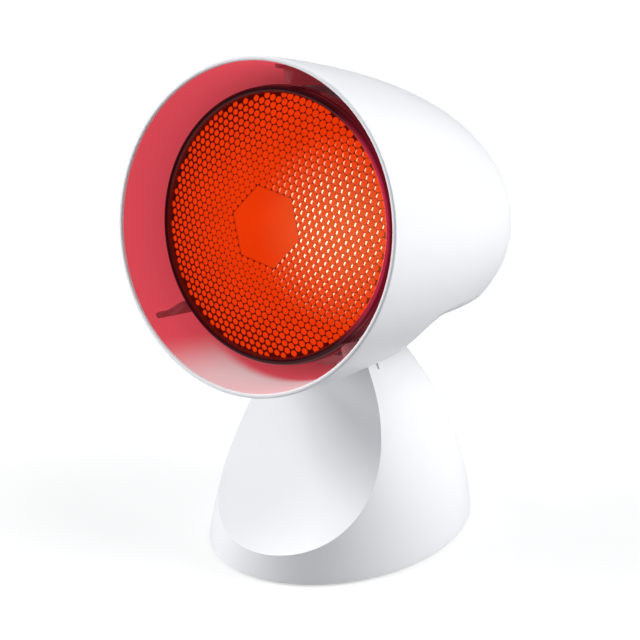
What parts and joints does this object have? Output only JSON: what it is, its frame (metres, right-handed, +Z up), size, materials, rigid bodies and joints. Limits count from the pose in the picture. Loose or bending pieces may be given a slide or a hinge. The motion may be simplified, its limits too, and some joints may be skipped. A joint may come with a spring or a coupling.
{
  "type": "infrared heat therapy lamp",
  "caption": "Table-top infrared heat lamp: an egg-shaped white shade with a red pressed-glass bulb tilts on a moulded foot with a concave front.",
  "frame": {"origin": "on the table, under the middle of the lamp's bounding box, with the head in its rest position", "axes": "+Z up, -Y the way the lamp shines, +X to the lamp's left as it faces you"},
  "size_m": [0.146, 0.1912, 0.2382],
  "materials": {
    "white_plastic": "gloss",
    "black_plastic": "matte",
    "grey_plastic": "matte",
    "rubber": "matte",
    "zinc_steel": "satin",
    "ballast_steel": "matte",
    "spring_steel": "satin",
    "acetal": "matte",
    "aluminium": "satin",
    "brass": "satin",
    "ceramic": "gloss",
    "red_glass": "gloss",
    "dark_red_glass": "gloss",
    "black_glass": "gloss",
    "tungsten": "satin",
    "clear_glass": "gloss"
  },
  "bodies": {
    "base": {"base_shell": "white_plastic", "bottom_plate": "grey_plastic", "foot_pads": "rubber", "bottom_screws": "zinc_steel", "ballast_plate": "ballast_steel", "ballast_screws": "zinc_steel", "terminal_block": "grey_plastic", "terminal_screws": "brass", "block_screw": "zinc_steel", "switch_housing": "black_plastic", "switch_terminals": "brass", "cable_gland": "black_plastic", "gland_nut": "black_plastic", "neck_bracket": "zinc_steel", "bracket_screws": "zinc_steel", "tilt_pin": "zinc_steel", "pin_nut": "zinc_steel", "friction_washer": "acetal", "detent_spring": "spring_steel"},
    "rocker": {"switch_rocker": "black_plastic"},
    "head": {"head_shell": "white_plastic", "lower_cover": "white_plastic", "cover_screws": "zinc_steel", "heat_shield": "aluminium", "shield_screws": "zinc_steel", "lampholder_body": "ceramic", "holder_screws": "zinc_steel", "screw_shell": "brass", "centre_contact": "brass", "lamp_carrier": "zinc_steel", "carrier_screws": "zinc_steel"},
    "bulb": {"bulb_lens": "red_glass", "bulb_reflector": "dark_red_glass", "bulb_screw_cap": "brass", "cap_insulator": "black_glass", "cap_contact": "brass", "filament": "tungsten", "filament_stem": "clear_glass"}
  },
  "joints": [
    {"name": "head_tilt", "type": "hinge", "parent": "base", "child": "head", "pos_m": [0, -0.00583, 0.098], "axis": [-1, 0, 0], "range_deg": [-9, 27]},
    {"name": "bulb_release", "type": "slide", "parent": "head", "child": "bulb", "axis": [0, -0.9781, 0.2079], "range_m": [0, 0.03]},
    {"name": "switch_rock", "type": "hinge", "parent": "base", "child": "rocker", "pos_m": [0, 0.05142, 0.04359], "axis": [-1, 0, 0], "range_deg": [0, 16]}
  ]
}
